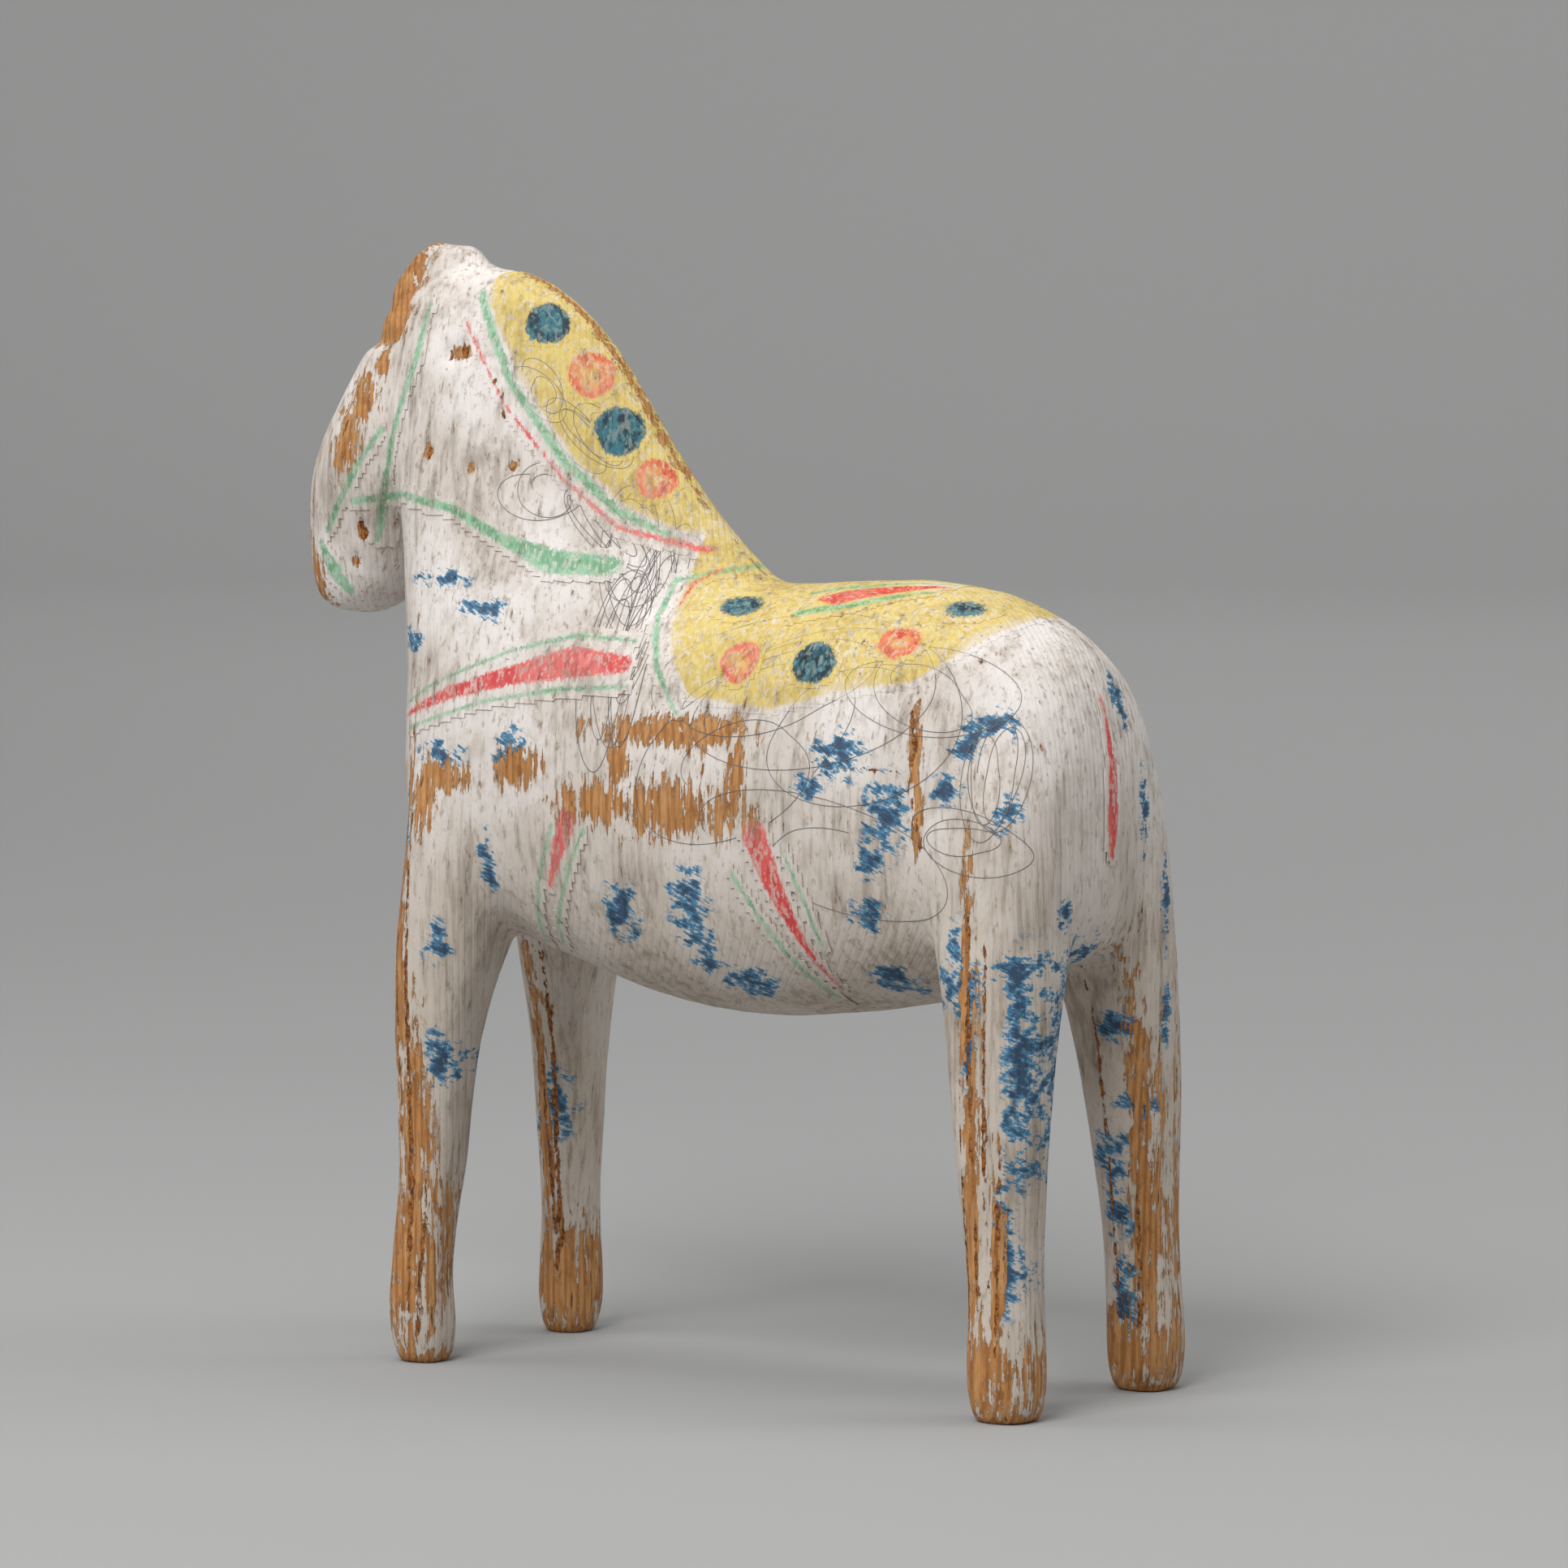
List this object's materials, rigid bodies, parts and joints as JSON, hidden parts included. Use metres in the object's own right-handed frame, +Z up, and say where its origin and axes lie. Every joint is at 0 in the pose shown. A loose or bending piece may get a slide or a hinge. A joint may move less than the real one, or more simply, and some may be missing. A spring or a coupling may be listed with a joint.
{
  "type": "carved wooden horse figurine",
  "caption": "Hand-carved and painted wooden horse figurine that stands on its own legs, with a worn white ground, flowered mane and saddle panels and a painted bridle.",
  "frame": {"origin": "on the surface the feet stand on, under the middle of the horse's length and width", "axes": "+X towards the head, +Y to the horse's own left, +Z up"},
  "size_m": [0.1721, 0.0584, 0.2015],
  "materials": {
    "pine": "aged, hand-worn pine",
    "yellow_paint": "thin brushed yellow paint",
    "blue_paint": "dabbed dark blue paint",
    "green_paint": "thin brushed green paint",
    "red_paint": "thin brushed red paint"
  },
  "bodies": {
    "root": {"back_strokes": "red_paint", "bit_left": "green_paint", "bit_right": "green_paint", "breast_strap_left": "red_paint", "breast_strap_right": "red_paint", "carved_block": "pine", "cheek_strap_left": "green_paint", "cheek_strap_right": "green_paint", "girth_strokes_left": "red_paint", "girth_strokes_right": "red_paint", "mane_blue_dots_left": "blue_paint", "mane_blue_dots_right": "blue_paint", "mane_border_left": "green_paint", "mane_border_right": "green_paint", "mane_panel": "yellow_paint", "mane_piping_left": "red_paint", "mane_piping_right": "red_paint", "mane_red_dots_left": "red_paint", "mane_red_dots_right": "red_paint", "nose_strap_left": "green_paint", "nose_strap_right": "green_paint", "rein_left": "green_paint", "rein_right": "green_paint", "saddle_blue_dots_left": "blue_paint", "saddle_blue_dots_right": "blue_paint", "saddle_panel": "yellow_paint", "saddle_red_dots_left": "red_paint", "saddle_red_dots_right": "red_paint", "tail_stroke": "red_paint"}
  },
  "joints": []
}
